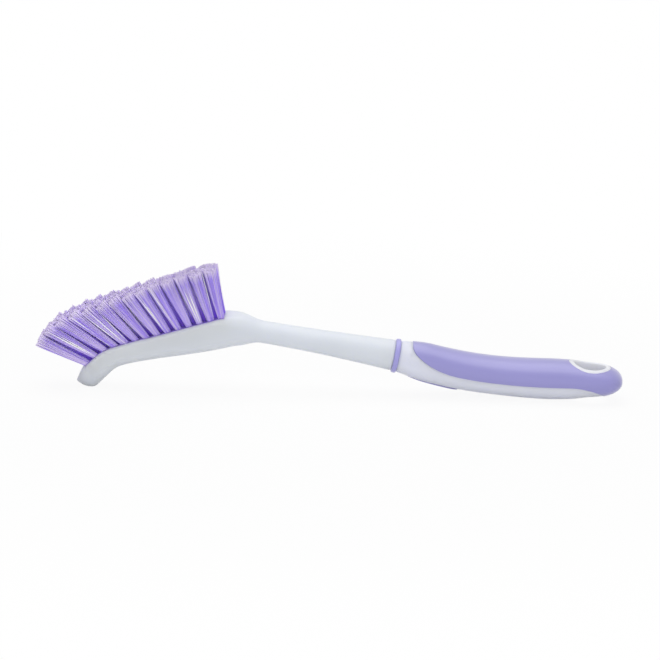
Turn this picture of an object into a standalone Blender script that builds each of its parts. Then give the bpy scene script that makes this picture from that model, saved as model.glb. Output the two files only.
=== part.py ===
"""Tile brush with a scraping nose, a fanned bristle head, a soft grip and a hang hole.

The brush lies on its back: it rests on the blunt end of the nose and on the belly of the handle,
and its bristles point up. X runs along the brush from the nose to the tail, Y across it, Z up.
All lengths are metres and all angles degrees. The origin is under the middle of the whole brush.
"""

import math
import random

import bmesh
import bpy
import numpy as np
from mathutils import Matrix, Vector
from mathutils.geometry import tessellate_polygon

# Stations of the moulded body, nose to tail. Each has the slope of the spine, the thickness
# and the width of the body there, and the run of spine from it to the next station.
NOSE_SLOPE = 64.3
NOSE_THICKNESS = 0.0089
NOSE_WIDTH = 0.0140
NOSE_RUN = 0.0134

BROW_SLOPE = 47.6
BROW_THICKNESS = 0.0114
BROW_WIDTH = 0.0175
BROW_RUN = 0.0101

FRONT_SLOPE = 18.1
FRONT_THICKNESS = 0.0108
FRONT_WIDTH = 0.0185
FRONT_RUN = 0.0130

MIDDLE_SLOPE = 13.0
MIDDLE_THICKNESS = 0.0116
MIDDLE_WIDTH = 0.0187
MIDDLE_RUN = 0.0351

BACK_SLOPE = 14.3
BACK_THICKNESS = 0.0151
BACK_WIDTH = 0.0187
BACK_RUN = 0.0089

SHOULDER_SLOPE = -3.4
SHOULDER_THICKNESS = 0.0146
SHOULDER_WIDTH = 0.0168
SHOULDER_RUN = 0.0107

WAIST_SLOPE = -8.1
WAIST_THICKNESS = 0.0102
WAIST_WIDTH = 0.0122
WAIST_RUN = 0.0626

BAND_SLOPE = -9.5
BAND_THICKNESS = 0.0144
BAND_BODY_WIDTH = 0.0162
BAND_RUN = 0.0154

HEEL_SLOPE = -13.4
HEEL_THICKNESS = 0.0174
HEEL_WIDTH = 0.0204
HEEL_RUN = 0.0293

PALM_SLOPE = -5.2
PALM_THICKNESS = 0.0172
PALM_WIDTH = 0.0236
PALM_RUN = 0.0277

BELLY_SLOPE = 0.0
BELLY_THICKNESS = 0.0181
BELLY_WIDTH = 0.0246
BELLY_RUN = 0.0183

EYELET_SLOPE = 0.6
EYELET_THICKNESS = 0.0157
EYELET_WIDTH = 0.0246
EYELET_RUN = 0.0151

TAIL_SLOPE = 1.8
TAIL_THICKNESS = 0.0096
TAIL_WIDTH = 0.0210

# Rounding of the body
NOSE_DOME = 0.0019
NOSE_BLUNTNESS = 5.7
NOSE_PLAN_DEPTH = 0.0090
NOSE_PLAN_BLUNTNESS = 2.0
TAIL_DOME = 0.0082
TAIL_BLUNTNESS = 2.5
PLATE_EDGE_RADIUS = 0.0013
NOSE_EDGE_RADIUS = 0.0045
UNDERSIDE_RADIUS = 0.0050
NOSE_FLAT_DEPTH = 0.0017

# Bristle plate and its drilled holes
ROW_COUNT = 4
FIRST_TUFT_BEHIND = 0.0018
TUFT_PITCH = 0.00517
NOSE_BARE = 0.0079
PLATE_MARGIN = 0.0016
HOLE_DIAMETER = 0.0034
HOLE_DEPTH = 0.0062
LEAN_BACK = 13.6
LEAN_FRONT = 61.0
LEAN_EASE = 0.87
SPLAY = 3.6

# Bristle tufts
BRISTLE_LENGTH = 0.0226
TRIM_UNEVENNESS = 0.0009
STRAND_DIAMETER = 0.0006
OUTER_STRANDS = 6
INNER_STRANDS = 3
INNER_CIRCLE_IN_STRANDS = 0.78
TIP_CLEARANCE = 0.0004
ROOT_RECESS = 0.0006

# Soft grip over the handle
GRIP_START = 0.0063
GRIP_THICKNESS = 0.0020
GRIP_PROUD = 0.0003
GRIP_FRONT_SWEEP = 0.0244
GRIP_REAR_SWEEP = 0.0166
GRIP_REAR_BEFORE_END = 0.0088
PARTING_HEIGHT = -0.09

# Eyelet and hang hole
HANG_HOLE_LENGTH = 0.0148
HANG_HOLE_WIDTH = 0.0132
EYELET_WALL = 0.0024
EYELET_PROUD = 0.0004
EYELET_SUNK_BELOW = 0.0003
EYELET_ROUNDING = 0.0010
EYELET_SEAT = 0.65

# Band round the neck
BAND_WIDTH = 0.0024
BAND_DEPTH = 0.0010
BAND_PROUD = 0.0007
BAND_EDGE_SHARE = 1 / 3

# Finger pad under the heel
PAD_START = 0.0067
PAD_LENGTH = 0.0245
PAD_ANGLE = 24.0
PAD_DEPTH = 0.0010
PAD_PROUD_FRONT = 0.0002
PAD_PROUD_REAR = 0.0006

# Gap kept between one piece and the piece that it seats in
CLEARANCE = 0.0003

# Fineness of the meshes
CORNER_STEPS = 5
DOME_STEPS = 6
DOME_TIP = 0.4
NOSE_STEP = 0.0012
HEAD_STEP = 0.0040
HANDLE_STEP = 0.0060
HOLE_SIDES = 10
STRAND_SIDES = 3
EYELET_SIDES = 28
EYELET_ARC_STEPS = 6
PARTING_STEPS = 10
PAD_SPOKES = 24
PAD_RINGS = 3
PAD_HUB = 0.12
CUT_REACH = 0.0100
CUT_WIDTH = 0.0200
GROOVE_REACH = 0.0050
RECESS_REACH = 0.0025
FULL_ROUND = 0.97
SHARP_ANGLE = 40.0
LEVEL_ROUNDS = 6
PLATE_LINE_STEPS = 40
TRIM_SEED = 11

RUNS = (NOSE_RUN, BROW_RUN, FRONT_RUN, MIDDLE_RUN, BACK_RUN, SHOULDER_RUN, WAIST_RUN, BAND_RUN,
        HEEL_RUN, PALM_RUN, BELLY_RUN, EYELET_RUN)
SLOPES = (NOSE_SLOPE, BROW_SLOPE, FRONT_SLOPE, MIDDLE_SLOPE, BACK_SLOPE, SHOULDER_SLOPE, WAIST_SLOPE,
          BAND_SLOPE, HEEL_SLOPE, PALM_SLOPE, BELLY_SLOPE, EYELET_SLOPE, TAIL_SLOPE)
THICKNESSES = (NOSE_THICKNESS, BROW_THICKNESS, FRONT_THICKNESS, MIDDLE_THICKNESS, BACK_THICKNESS,
               SHOULDER_THICKNESS, WAIST_THICKNESS, BAND_THICKNESS, HEEL_THICKNESS, PALM_THICKNESS,
               BELLY_THICKNESS, EYELET_THICKNESS, TAIL_THICKNESS)
WIDTHS = (NOSE_WIDTH, BROW_WIDTH, FRONT_WIDTH, MIDDLE_WIDTH, BACK_WIDTH, SHOULDER_WIDTH, WAIST_WIDTH,
          BAND_BODY_WIDTH, HEEL_WIDTH, PALM_WIDTH, BELLY_WIDTH, EYELET_WIDTH, TAIL_WIDTH)
STATIONS = tuple(sum(RUNS[:i]) for i in range(len(RUNS) + 1))
AT_BACK = STATIONS[4]
AT_WAIST = STATIONS[6]
AT_BAND = STATIONS[7]
AT_EYELET = STATIONS[11]
BODY_END = STATIONS[12]
GRIP_FRONT = AT_BAND + GRIP_START
GRIP_EXIT = BODY_END - GRIP_REAR_BEFORE_END


def arc_end(x, z, slope, run, turn):
    """Point reached along an arc of length run that starts at a slope and turns by an angle."""
    chord = run * np.sinc(turn / (2 * math.pi))
    return x + chord * math.cos(slope + turn / 2), z + chord * math.sin(slope + turn / 2)


class Spine:
    """Chain of tangent arcs through the stations, tipped by a pitch angle."""

    def __init__(self, pitch=0.0):
        self.slopes = [math.radians(slope) + pitch for slope in SLOPES]
        self.joints = [(0.0, 0.0)]
        for i, run in enumerate(RUNS):
            turn = self.slopes[i + 1] - self.slopes[i]
            self.joints.append(arc_end(*self.joints[i], self.slopes[i], run, turn))

    def at(self, s):
        """Centre and slope at a length along the spine; past the tail it runs on straight."""
        i = int(np.searchsorted(STATIONS, s, side="right")) - 1
        i = min(max(i, 0), len(RUNS))
        run = s - STATIONS[i]
        turn = 0.0
        if i < len(RUNS):
            turn = (self.slopes[i + 1] - self.slopes[i]) * run / RUNS[i]
        x, z = arc_end(*self.joints[i], self.slopes[i], run, turn)
        return x, z, self.slopes[i] + turn

    def place(self, s, across, up):
        """Point at a length along the spine, then across it and square up from it."""
        x, z, slope = self.at(s)
        return Vector((x - up * math.sin(slope), across, z + up * math.cos(slope)))


def blend(values, s):
    """Smooth value between the stations, by cubics that never overshoot a station's value."""
    gaps = np.diff(STATIONS)
    rises = np.diff(values) / gaps
    tangents = np.zeros(len(values))
    tangents[0] = rises[0]
    tangents[-1] = rises[-1]
    for i in range(1, len(values) - 1):
        if rises[i - 1] * rises[i] > 0:
            before = 2 * gaps[i] + gaps[i - 1]
            after = gaps[i] + 2 * gaps[i - 1]
            tangents[i] = (before + after) / (before / rises[i - 1] + after / rises[i])
    s = min(max(s, STATIONS[0]), STATIONS[-1])
    i = min(int(np.searchsorted(STATIONS, s, side="right")) - 1, len(gaps) - 1)
    t = (s - STATIONS[i]) / gaps[i]
    start = (1 + 2 * t) * (1 - t) ** 2 * values[i] + t * (1 - t) ** 2 * gaps[i] * tangents[i]
    end = t * t * (3 - 2 * t) * values[i + 1] + t * t * (t - 1) * gaps[i] * tangents[i + 1]
    return start + end


def dome(distance, depth, bluntness):
    """Share of the full section left at a distance inside a rounded end."""
    if distance >= depth:
        return 1.0
    reach = 1 - max(distance, 0.0) / depth
    return max(1 - reach ** bluntness, 0.0) ** (1 / bluntness)


def half_sizes(s, offset=0.0):
    """Half width and half height of the body, grown by an offset, with its domed ends."""
    nose_up = dome(s, NOSE_DOME, NOSE_BLUNTNESS)
    nose_across = dome(s, NOSE_PLAN_DEPTH, NOSE_PLAN_BLUNTNESS)
    tail = dome(BODY_END + offset - s, TAIL_DOME + offset, TAIL_BLUNTNESS)
    half_width = (blend(WIDTHS, s) / 2 + offset) * nose_across * tail
    half_height = (blend(THICKNESSES, s) / 2 + offset) * nose_up * tail
    return half_width, half_height


def ring(spine, s, offset=0.0):
    """Cross-section loop: a flat plate with a rounded underside on the head, an oval on the handle."""
    half_width, half_height = half_sizes(s, offset)
    t = min(max((s - AT_BACK) / (AT_WAIST - AT_BACK), 0.0), 1.0)
    oval = t * t * (3 - 2 * t)
    bare = max(1 - s / NOSE_RUN, 0.0)
    edge = PLATE_EDGE_RADIUS + (NOSE_EDGE_RADIUS - PLATE_EDGE_RADIUS) * bare
    loop = []
    corners = ((1, 1, edge), (-1, 1, edge), (-1, -1, UNDERSIDE_RADIUS), (1, -1, UNDERSIDE_RADIUS))
    for quarter, (side, face, radius) in enumerate(corners):
        across = FULL_ROUND * (min(radius, half_width) * (1 - oval) + half_width * oval)
        upward = FULL_ROUND * (min(radius, half_height) * (1 - oval) + half_height * oval)
        steps = range(CORNER_STEPS + 1)
        for step in (reversed(steps) if quarter % 2 else steps):
            angle = math.pi / 2 * step / CORNER_STEPS
            y = side * (half_width - across + across * math.cos(angle))
            up = face * (half_height - upward + upward * math.sin(angle))
            loop.append(spine.place(s, y, up))
    return loop


def lengths_between(start, end, step):
    """Evenly spaced lengths from start to end, no further apart than step."""
    count = max(int(math.ceil((end - start) / step - 1e-6)), 1)
    return [start + (end - start) * i / count for i in range(count)]


def dome_lengths(depth):
    """Lengths into a rounded end, closer together towards its tip."""
    angles = [math.pi / 2 * i / DOME_STEPS for i in (DOME_TIP, *range(1, DOME_STEPS))]
    return [depth * (1 - math.cos(angle)) for angle in angles]


def body_lengths(start, offset=0.0):
    """Lengths of the cross-sections from start to the domed tail."""
    head_end = max(start, AT_WAIST)
    dome_start = BODY_END - TAIL_DOME
    lengths = []
    if start < AT_WAIST:
        lengths += lengths_between(start, head_end, HEAD_STEP)
    lengths += lengths_between(head_end, dome_start, HANDLE_STEP) + [dome_start]
    depths = reversed(dome_lengths(TAIL_DOME + offset))
    return lengths + [BODY_END + offset - depth for depth in depths]


def loft(loops, closed=False):
    """Vertices and faces of a skin over like loops; a closed one joins its last loop to its first."""
    count = len(loops[0])
    vertices = [point for loop in loops for point in loop]
    faces = []
    joins = len(loops) if closed else len(loops) - 1
    for i in range(joins):
        low = i * count
        high = (i + 1) % len(loops) * count
        for j in range(count):
            k = (j + 1) % count
            faces.append((low + j, low + k, high + k, high + j))
    if not closed:
        faces.append(tuple(reversed(range(count))))
        faces.append(tuple(range(len(vertices) - count, len(vertices))))
    return vertices, faces


def prism(outline, width):
    """Solid of a side view outline in X and Z, run across the brush."""
    return loft([[Vector((x, side * width, z)) for x, z in outline] for side in (-1, 1)])


def oval(centre, half_length, half_width, low, high):
    """Upright oval cylinder, its corners midway between those of the eyelet's wall."""
    angles = [2 * math.pi * (i + 0.5) / EYELET_SIDES for i in range(EYELET_SIDES)]
    loops = []
    for z in (low, high):
        loops.append([Vector((centre + half_length * math.cos(a), half_width * math.sin(a), z))
                      for a in angles])
    return loft(loops)


def resting_spine():
    """Spine tipped until the nose's flat and the handle's belly lie on one level, and that level."""
    pitch = 0.0
    for _ in range(LEVEL_ROUNDS):
        spine = Spine(pitch)
        nose = min((p for s in dome_lengths(NOSE_DOME) for p in ring(spine, s)), key=lambda p: p.z)
        belly = min((p for s in body_lengths(AT_BAND) for p in ring(spine, s)), key=lambda p: p.z)
        drop = belly.z - nose.z - NOSE_FLAT_DEPTH
        pitch -= math.atan2(drop, belly.x - nose.x)
    return spine, belly.z


def parting_line(spine, gap):
    """Side view of the grip's edge: down in a quarter ellipse at the front, along the handle,
    and out through the underside in another quarter ellipse before the tail."""
    front = GRIP_FRONT + gap
    leave = GRIP_EXIT + gap
    sweep = [math.pi / 2 * i / PARTING_STEPS for i in range(PARTING_STEPS + 1)]
    shares = []
    for angle in sweep:
        s = front + GRIP_FRONT_SWEEP * (1 - math.cos(angle))
        shares.append((s, 1 - (1 - PARTING_HEIGHT) * math.sin(angle)))
    for angle in sweep:
        s = leave - GRIP_REAR_SWEEP * (1 - math.sin(angle))
        shares.append((s, PARTING_HEIGHT - (1 + PARTING_HEIGHT) * (1 - math.cos(angle))))
    points = [spine.place(front, 0, blend(THICKNESSES, front) / 2 + CUT_REACH)]
    for s, share in shares:
        points.append(spine.place(s, 0, blend(THICKNESSES, s) / 2 * share + gap))
    points.append(spine.place(leave, 0, -blend(THICKNESSES, leave) / 2 - CUT_REACH))
    return [(point.x, point.z) for point in points]


def grip_zone(spine, gap):
    """Prism over all that lies above and behind the grip's edge."""
    outline = parting_line(spine, gap)
    far = spine.place(BODY_END, 0, 0)
    outline.append((far.x + CUT_REACH, outline[-1][1]))
    outline.append((far.x + CUT_REACH, outline[0][1]))
    return prism(outline, CUT_WIDTH)


def hoop(spine, profile):
    """Closed ring round the body whose own section runs through (length, offset) corners."""
    return loft([ring(spine, s, offset) for s, offset in profile], closed=True)


def band_profile(depth, proud, gap):
    """Section of the neck band, crowned on the outside, or of its groove."""
    half = BAND_WIDTH / 2 + gap
    edge = proud * BAND_EDGE_SHARE
    return ((AT_BAND - half, -depth), (AT_BAND - half, edge), (AT_BAND - half / 2, proud),
            (AT_BAND + half / 2, proud), (AT_BAND + half, edge), (AT_BAND + half, -depth))


def handle_face(spine, x, y, face):
    """Height of the top face (1) or bottom face (-1) of the handle above a point."""
    eyelet_x = spine.at(AT_EYELET)[0]
    s = AT_EYELET + x - eyelet_x
    half_width, half_height = half_sizes(s)
    lift = math.sqrt(max(1 - (y / half_width) ** 2, 0.0))
    return spine.at(s)[1] + face * half_height * lift


def eyelet_ring(spine):
    """White wall of the hang hole: an upright oval tube whose rounded rims follow the handle."""
    centre = spine.at(AT_EYELET)[0]
    half_wall = EYELET_WALL / 2
    loops = []
    for i in range(EYELET_SIDES):
        turn = 2 * math.pi * i / EYELET_SIDES
        loop = []
        for face in (1, -1):
            steps = range(EYELET_ARC_STEPS + 1)
            for step in (steps if face == 1 else reversed(steps)):
                angle = math.pi * step / EYELET_ARC_STEPS
                out = half_wall * (1 - math.cos(angle))
                x = centre + (HANG_HOLE_LENGTH / 2 + out) * math.cos(turn)
                y = (HANG_HOLE_WIDTH / 2 + out) * math.sin(turn)
                proud = EYELET_PROUD if face == 1 else -EYELET_SUNK_BELOW
                crown = proud - EYELET_ROUNDING * (1 - math.sin(angle))
                z = handle_face(spine, x, y, face) + face * crown
                loop.append(Vector((x, y, z)))
        loops.append(loop)
    return loft(loops, closed=True)


def pad_solid(spine, gap, depth, extra):
    """Oval patch on the underside, thicker towards the rear, as the pad or as its recess."""
    middle = AT_BAND + PAD_START + PAD_LENGTH / 2
    half_length = PAD_LENGTH / 2 + gap
    half_angle = math.radians(PAD_ANGLE) + gap / (HEEL_WIDTH / 2)
    levels = []
    for outer in (False, True):
        shares = [PAD_HUB + (1 - PAD_HUB) * i / PAD_RINGS for i in range(PAD_RINGS + 1)]
        for share in (shares if not outer else reversed(shares)):
            loop = []
            for i in range(PAD_SPOKES):
                turn = 2 * math.pi * i / PAD_SPOKES
                s = middle + half_length * share * math.cos(turn)
                angle = half_angle * share * math.sin(turn)
                along = (s - middle) / PAD_LENGTH + 0.5
                proud = PAD_PROUD_FRONT + (PAD_PROUD_REAR - PAD_PROUD_FRONT) * along + extra
                half_width, half_height = half_sizes(s, proud if outer else -depth)
                y = half_width * math.sin(angle)
                loop.append(spine.place(s, y, -half_height * math.cos(angle)))
            levels.append(loop)
    return loft(levels)


def plate_line(spine):
    """Lengths along the spine against distance run on the plate's face, from the first tuft to the nose."""
    s = AT_BACK + FIRST_TUFT_BEHIND
    table = [(s, 0.0)]
    step = TUFT_PITCH / PLATE_LINE_STEPS
    run = 0.0
    last = spine.place(s, 0, half_sizes(s)[1])
    while s - step > NOSE_DOME:
        s -= step
        here = spine.place(s, 0, half_sizes(s)[1])
        run += (here - last).length
        table.append((s, run))
        last = here
    return table


def tuft_frames(spine):
    """Mouth and direction of every tuft: (row, number, matrix), numbered from the back."""
    table = plate_line(spine)
    lengths = [row[0] for row in table]
    runs = [row[1] for row in table]
    usable = runs[-1] - NOSE_BARE
    half_span = min(BROW_WIDTH, FRONT_WIDTH, MIDDLE_WIDTH, BACK_WIDTH) / 2
    half_span -= PLATE_MARGIN + HOLE_DIAMETER / 2
    frames = []
    for row in range(ROW_COUNT):
        across = row / (ROW_COUNT - 1) * 2 - 1
        run = TUFT_PITCH / 2 * (row % 2)
        number = 1
        while run <= usable:
            s = float(np.interp(run, runs, lengths))
            share = (run / usable) ** LEAN_EASE
            lean = math.radians(LEAN_BACK + (LEAN_FRONT - LEAN_BACK) * share)
            splay = math.radians(SPLAY) * across
            mouth = spine.place(s, half_span * across, half_sizes(s)[1])
            turn = Matrix.Rotation(-lean, 4, "Y") @ Matrix.Rotation(-splay, 4, "X")
            frames.append((row + 1, number, Matrix.Translation(mouth) @ turn))
            run += TUFT_PITCH
            number += 1
    return frames


def tip_radius(frames):
    """How far a tuft may spread at its tip before it meets the tips beside it."""
    tips = [frame @ Vector((0, 0, BRISTLE_LENGTH)) for _, _, frame in frames]
    nearest = min((a - b).length for i, a in enumerate(tips) for b in tips[:i])
    return (nearest - TIP_CLEARANCE) / 2


def circle(radius, sides, height, turn=0.0):
    """Loop of points round the Z axis."""
    angles = [turn + 2 * math.pi * i / sides for i in range(sides)]
    return [Vector((radius * math.cos(a), radius * math.sin(a), height)) for a in angles]


def strand_centres(plug_radius):
    """Where the strands stand in the root: an outer and an inner circle."""
    strand = STRAND_DIAMETER / 2
    outer = plug_radius * math.cos(math.pi / HOLE_SIDES) - strand
    inner = STRAND_DIAMETER * INNER_CIRCLE_IN_STRANDS
    centres = circle(outer, OUTER_STRANDS, 0.0)
    return centres + circle(inner, INNER_STRANDS, 0.0, math.pi / OUTER_STRANDS)


def tuft_mesh(spread, chance):
    """Packed root with its strands: the root fills the hole and the strands fan out of it."""
    root_radius = HOLE_DIAMETER / 2 - CLEARANCE
    bottom = circle(root_radius, HOLE_SIDES, CLEARANCE - HOLE_DEPTH)
    top = circle(root_radius, HOLE_SIDES, -ROOT_RECESS)
    vertices = bottom + top
    sides = range(HOLE_SIDES)
    faces = [tuple(reversed(sides))]
    for i in sides:
        j = (i + 1) % HOLE_SIDES
        faces.append((i, j, HOLE_SIDES + j, HOLE_SIDES + i))
    outlines = [top]
    spread_ratio = spread / root_radius
    for centre in strand_centres(root_radius):
        turn = math.atan2(centre.y, centre.x)
        foot = [p + centre for p in circle(STRAND_DIAMETER / 2, STRAND_SIDES, -ROOT_RECESS, turn)]
        tip_height = BRISTLE_LENGTH + chance.uniform(-TRIM_UNEVENNESS, TRIM_UNEVENNESS)
        tip_centre = centre * spread_ratio
        head = [p + tip_centre for p in circle(STRAND_DIAMETER / 2, STRAND_SIDES, tip_height, turn)]
        first = len(vertices)
        vertices += foot + head
        for i in range(STRAND_SIDES):
            j = (i + 1) % STRAND_SIDES
            faces.append((first + i, first + j, first + STRAND_SIDES + j, first + STRAND_SIDES + i))
        faces.append(tuple(range(first + STRAND_SIDES, first + 2 * STRAND_SIDES)))
        outlines.append(foot)
    feet = list(range(HOLE_SIDES, 2 * HOLE_SIDES))
    for k in range(len(outlines) - 1):
        first = 2 * HOLE_SIDES + 2 * STRAND_SIDES * k
        feet += range(first, first + STRAND_SIDES)
    faces += [tuple(feet[i] for i in face) for face in tessellate_polygon(outlines)]
    return vertices, faces


def hole_cutters(frames):
    """All the drilled holes in one mesh of separate cylinders."""
    vertices = []
    faces = []
    for _, _, frame in frames:
        levels = [circle(HOLE_DIAMETER / 2, HOLE_SIDES, z) for z in (-HOLE_DEPTH, HOLE_DIAMETER)]
        points, sides = loft([[frame @ p for p in level] for level in levels])
        faces += [tuple(len(vertices) + i for i in face) for face in sides]
        vertices += points
    return vertices, faces


def make_material(name, colour, roughness):
    """Plain plastic of one colour."""
    material = bpy.data.materials.new(name)
    material.use_nodes = True
    shader = material.node_tree.nodes["Principled BSDF"]
    shader.inputs["Base Color"].default_value = (*colour, 1.0)
    shader.inputs["Roughness"].default_value = roughness
    shader.inputs["Metallic"].default_value = 0.0
    material.diffuse_color = (*colour, 1.0)
    return material


def make_object(name, shape, parent, frame=None, material=None):
    """Object with its origin at a frame, from points given in the brush's own space or the frame's."""
    points, faces = shape
    mesh = bpy.data.meshes.new(name)
    mesh.from_pydata([tuple(p) for p in points], [], faces)
    mesh.update()
    fix_normals(mesh)
    obj = bpy.data.objects.new(name, mesh)
    bpy.context.scene.collection.objects.link(obj)
    obj.parent = parent
    if frame is not None:
        obj.location = frame.to_translation()
        obj.rotation_euler = frame.to_euler()
    if material is None:
        obj.hide_render = True
        obj.display_type = "WIRE"
    else:
        mesh.materials.append(material)
        mesh.shade_smooth()
        mesh.set_sharp_from_angle(angle=math.radians(SHARP_ANGLE))
    return obj


def fix_normals(mesh):
    """Turn every face outwards."""
    work = bmesh.new()
    work.from_mesh(mesh)
    bmesh.ops.recalc_face_normals(work, faces=work.faces)
    work.to_mesh(mesh)
    work.free()


def placed(shape, frame):
    """Shape moved into the space of a frame, so that the object can sit at that frame."""
    points, faces = shape
    back = frame.inverted()
    return [back @ point for point in points], faces


def boolean(obj, operation, operand):
    """Live Boolean with another object."""
    modifier = obj.modifiers.new(f"{operation.lower()} {operand.name}", "BOOLEAN")
    modifier.operation = operation
    modifier.object = operand
    modifier.solver = "EXACT"


def build_core(spine, ground, frames, root, material):
    """White moulding: nose, head, neck and handle, with seats for every other piece."""
    nose_lengths = dome_lengths(NOSE_DOME) + lengths_between(NOSE_DOME, NOSE_PLAN_DEPTH, NOSE_STEP)
    loops = [ring(spine, s) for s in nose_lengths + body_lengths(NOSE_PLAN_DEPTH)]
    core = make_object("core", loft(loops), root, material=material)

    zone = make_object("cut_grip_zone", grip_zone(spine, 0.0), root)
    boolean(core, "DIFFERENCE", zone)

    inner_start = GRIP_FRONT - GRIP_THICKNESS
    inner_loops = [ring(spine, s, -GRIP_THICKNESS) for s in body_lengths(inner_start, -GRIP_THICKNESS)]
    inner = make_object("fill_under_grip", loft(inner_loops), root)
    boolean(core, "UNION", inner)

    centre = spine.at(AT_EYELET)[0]
    inside = EYELET_WALL * EYELET_SEAT
    blank = oval(centre, HANG_HOLE_LENGTH / 2 + inside, HANG_HOLE_WIDTH / 2 + inside,
                 ground - CUT_REACH, ground + BELLY_THICKNESS + CUT_REACH)
    boolean(core, "DIFFERENCE", make_object("cut_eyelet_blank", blank, root))
    boolean(core, "UNION", make_object("fill_eyelet", eyelet_ring(spine), root))

    groove = hoop(spine, band_profile(BAND_DEPTH, GROOVE_REACH, 0.0))
    boolean(core, "DIFFERENCE", make_object("cut_band_groove", groove, root))

    recess = pad_solid(spine, CLEARANCE, PAD_DEPTH, RECESS_REACH)
    boolean(core, "DIFFERENCE", make_object("cut_pad_recess", recess, root))

    boolean(core, "DIFFERENCE", make_object("cut_tuft_holes", hole_cutters(frames), root))

    nose_x = spine.at(NOSE_DOME)[0]
    below = prism([(nose_x - CUT_WIDTH, ground - CUT_REACH), (nose_x + CUT_WIDTH, ground - CUT_REACH),
                   (nose_x + CUT_WIDTH, ground), (nose_x - CUT_WIDTH, ground)], CUT_WIDTH)
    boolean(core, "DIFFERENCE", make_object("cut_nose_flat", below, root))
    return core


def build_grip(spine, ground, root, material):
    """Soft shell over the top, sides and tail of the handle."""
    frame = Matrix.Translation(spine.place(GRIP_FRONT, 0, blend(THICKNESSES, GRIP_FRONT) / 2))
    start = GRIP_FRONT - GRIP_THICKNESS
    loops = [ring(spine, s, GRIP_PROUD) for s in body_lengths(start, GRIP_PROUD)]
    grip = make_object("soft_grip", placed(loft(loops), frame), root, frame, material)

    boolean(grip, "INTERSECT", make_object("cut_grip_edge", grip_zone(spine, CLEARANCE), root))
    inset = CLEARANCE - GRIP_THICKNESS
    start -= GRIP_THICKNESS
    loops = [ring(spine, s, inset) for s in body_lengths(start, inset)]
    boolean(grip, "DIFFERENCE", make_object("cut_grip_inside", loft(loops), root))
    centre = spine.at(AT_EYELET)[0]
    around = EYELET_WALL + CLEARANCE
    hole = oval(centre, HANG_HOLE_LENGTH / 2 + around, HANG_HOLE_WIDTH / 2 + around,
                ground - CUT_REACH, ground + BELLY_THICKNESS + CUT_REACH)
    boolean(grip, "DIFFERENCE", make_object("cut_grip_eyelet", hole, root))
    return grip


def build_band(spine, root, material):
    """Soft band in its groove round the neck, square to the handle there."""
    x, z, slope = spine.at(AT_BAND)
    frame = Matrix.Translation((x, 0, z)) @ Matrix.Rotation(-slope, 4, "Y")
    shape = hoop(spine, band_profile(BAND_DEPTH - CLEARANCE, BAND_PROUD, -CLEARANCE))
    return make_object("neck_band", placed(shape, frame), root, frame, material)


def build_pad(spine, root, material):
    """Soft finger pad let into the underside."""
    middle = AT_BAND + PAD_START + PAD_LENGTH / 2
    frame = Matrix.Translation(spine.place(middle, 0, -blend(THICKNESSES, middle) / 2))
    shape = pad_solid(spine, 0.0, PAD_DEPTH - CLEARANCE, 0.0)
    return make_object("finger_pad", placed(shape, frame), root, frame, material)


def build_tufts(frames, root, material):
    """One object for each tuft, at the mouth of its hole and turned to its direction."""
    chance = random.Random(TRIM_SEED)
    spread = tip_radius(frames)
    tufts = []
    for row, number, frame in frames:
        name = f"tuft_row{row}_{number:02d}"
        tufts.append(make_object(name, tuft_mesh(spread, chance), root, frame, material))
    return tufts


def lengthways_range(pieces):
    """Lowest and highest X of the finished pieces."""
    bpy.context.view_layer.update()
    graph = bpy.context.evaluated_depsgraph_get()
    lows = []
    highs = []
    for piece in pieces:
        finished = piece.evaluated_get(graph)
        flat = np.empty(3 * len(finished.data.vertices))
        finished.data.vertices.foreach_get("co", flat)
        turn = np.array(finished.matrix_world)
        xs = flat.reshape(-1, 3) @ turn[0, :3] + turn[0, 3]
        lows.append(xs.min())
        highs.append(xs.max())
    return float(min(lows)), float(max(highs))


def main():
    for obj in list(bpy.data.objects):
        bpy.data.objects.remove(obj, do_unlink=True)

    white = make_material("white plastic", (0.78, 0.80, 0.86), 0.38)
    lilac = make_material("lilac soft grip", (0.40, 0.34, 0.74), 0.45)
    band_lilac = make_material("lilac band", (0.42, 0.35, 0.75), 0.45)
    pad_lilac = make_material("lilac pad", (0.36, 0.30, 0.62), 0.50)
    bristle = make_material("lilac bristle", (0.44, 0.33, 0.72), 0.40)

    root = bpy.data.objects.new("brush", None)
    bpy.context.scene.collection.objects.link(root)
    spine, ground = resting_spine()
    frames = tuft_frames(spine)

    pieces = [build_core(spine, ground, frames, root, white), build_grip(spine, ground, root, lilac),
              build_band(spine, root, band_lilac), build_pad(spine, root, pad_lilac)]
    pieces += build_tufts(frames, root, bristle)
    low, high = lengthways_range(pieces)
    root.location = (-(low + high) / 2, 0, -ground)
    bpy.context.view_layer.update()


main()
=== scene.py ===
"""Looks of the tile brush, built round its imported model. Lengths are metres and angles radians."""

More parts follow.
